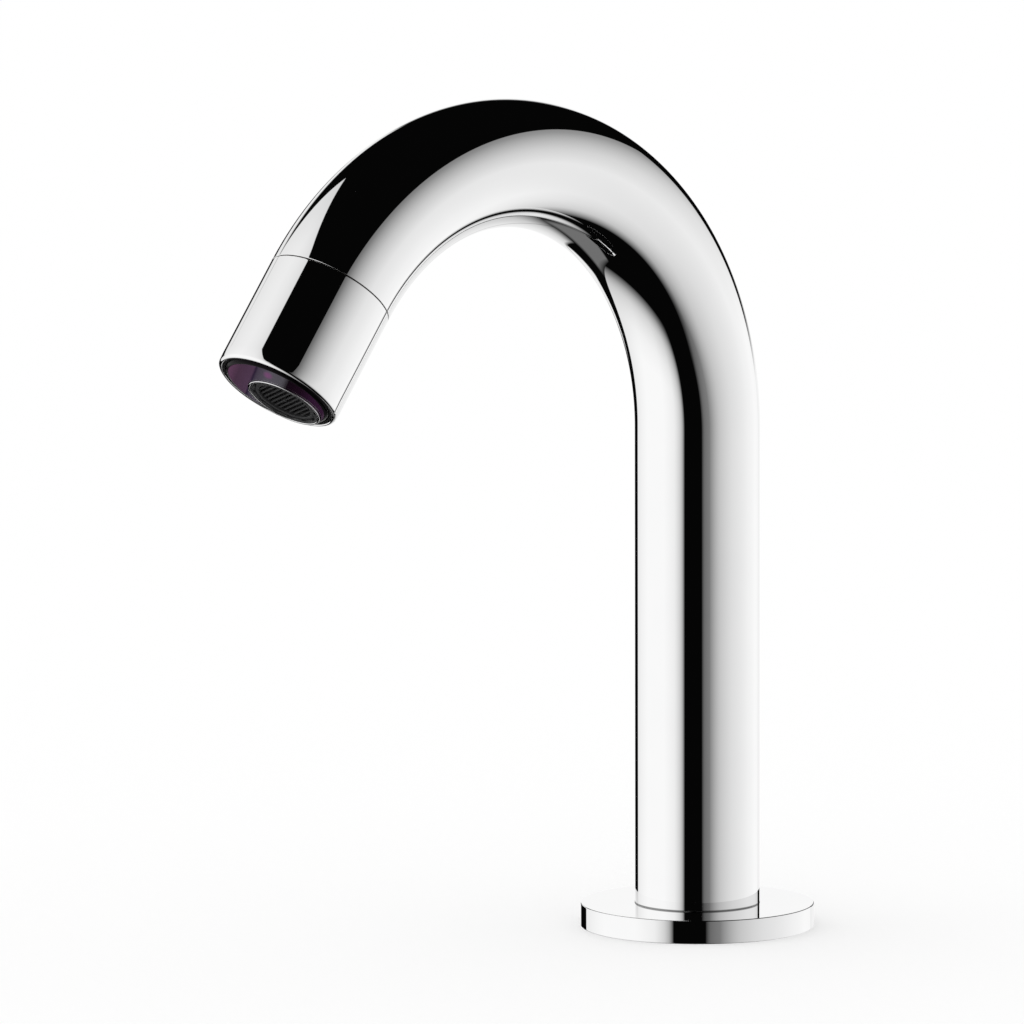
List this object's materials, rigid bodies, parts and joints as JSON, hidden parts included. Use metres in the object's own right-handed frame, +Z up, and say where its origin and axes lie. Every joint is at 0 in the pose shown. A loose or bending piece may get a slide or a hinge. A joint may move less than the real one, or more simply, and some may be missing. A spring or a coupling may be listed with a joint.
{
  "type": "sensor tap",
  "caption": "Deck-mounted swan-neck sensor tap: plain round chrome tube on a flat disc flange, straight head with a dark sensor window round an off-centre aerator in its mouth.",
  "frame": {"origin": "on the deck at the spout tube's axis, centre of the two fixing studs' hole mouths", "axes": "+Z up the leg, -Y the way the spout points, X across; the bend lies in the YZ plane"},
  "size_m": [0.06, 0.1881, 0.216],
  "materials": {
    "polished_chrome": "mirror chrome plate on brass",
    "black_rubber": "plain black rubber",
    "plain_brass": "turned brass",
    "hose_polymer": "smooth hose wall",
    "plain_steel": "stainless steel",
    "cable_jacket": "cable jacket",
    "black_polymer": "moulded black plastic",
    "circuit_board": "circuit board",
    "diode_resin": "moulded lens resin",
    "window_tint": "polished infrared-clear window, nearly black with a plum tint",
    "white_polymer": "moulded white plastic"
  },
  "bodies": {
    "tap": {"spout_tube": "polished_chrome", "base_flange": "polished_chrome", "flange_o_ring": "black_rubber", "deck_gasket": "black_rubber", "base_insert": "plain_brass", "inlet_o_ring": "black_rubber", "hose_nipple": "plain_brass", "water_hose": "hose_polymer", "lower_ferrule": "plain_steel", "upper_ferrule": "plain_steel", "sensor_cable": "cable_jacket", "cable_gland": "black_rubber", "head_sleeve": "polished_chrome", "neck_coupling": "plain_brass", "neck_o_ring": "black_rubber", "head_screw": "plain_steel", "sensor_carrier": "black_polymer", "sensor_board": "circuit_board", "ir_emitter": "diode_resin", "ir_receiver": "diode_resin", "light_baffle": "black_polymer", "window_seal": "black_rubber", "sensor_window": "window_tint", "outlet_nozzle": "polished_chrome"},
    "aerator_seal": {"aerator_gasket": "black_rubber"},
    "aerator": {"aerator_housing": "black_polymer", "filter_screen": "plain_steel", "flow_regulator": "white_polymer", "regulator_o_ring": "black_rubber", "jet_plate": "white_polymer", "aerator_grid": "black_polymer"}
  },
  "joints": [
    {"name": "aerator_travel", "type": "slide", "parent": "tap", "child": "aerator_seal", "axis": [0, -0.6018, -0.7986], "range_m": [0, 0.0045]},
    {"name": "aerator_turn", "type": "hinge", "parent": "aerator_seal", "child": "aerator", "pos_m": [0, -0.12483, 0.16956], "axis": [0, -0.6018, -0.7986], "range_deg": [0, 1620]}
  ],
  "couplings": [
    {"joint": "aerator_travel", "follows": "aerator_turn", "m_per_rad": 0.00015915}
  ]
}
